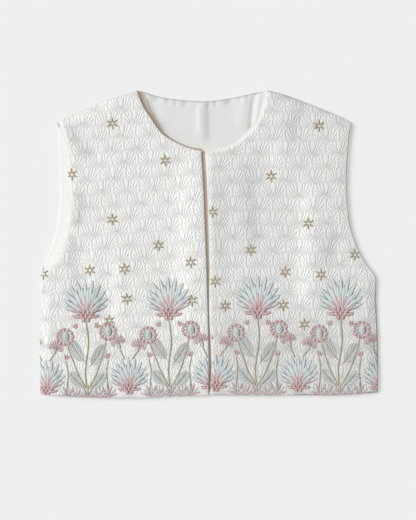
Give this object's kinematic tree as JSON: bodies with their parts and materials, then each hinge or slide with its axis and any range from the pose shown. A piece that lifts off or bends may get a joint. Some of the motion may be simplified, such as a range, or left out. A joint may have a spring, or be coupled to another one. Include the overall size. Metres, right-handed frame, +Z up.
{
  "type": "waistcoat",
  "caption": "Cropped sleeveless waistcoat with a round neck and an open edge-to-edge front, laid flat; quilted outer cloth, lined back, faced neckline.",
  "frame": {"origin": "centre of the waistcoat's outline in plan, on the surface it lies on", "axes": "+X towards the wearer's left front, +Y towards the neck, +Z up from the surface"},
  "size_m": [0.4745, 0.4324, 0.009],
  "materials": {
    "outer_cloth": "cream-white quilted jacquard with raised fans, gold stars and a blue-grey and pink flower border",
    "lining_cloth": "plain off-white woven lining, matt",
    "facing_cloth": "plain tan woven facing, matt"
  },
  "bodies": {
    "root": {"back": "outer_cloth", "back_lining": "lining_cloth", "right_front": "outer_cloth", "left_front": "outer_cloth", "right_front_facing": "facing_cloth", "left_front_facing": "lining_cloth"}
  },
  "joints": []
}
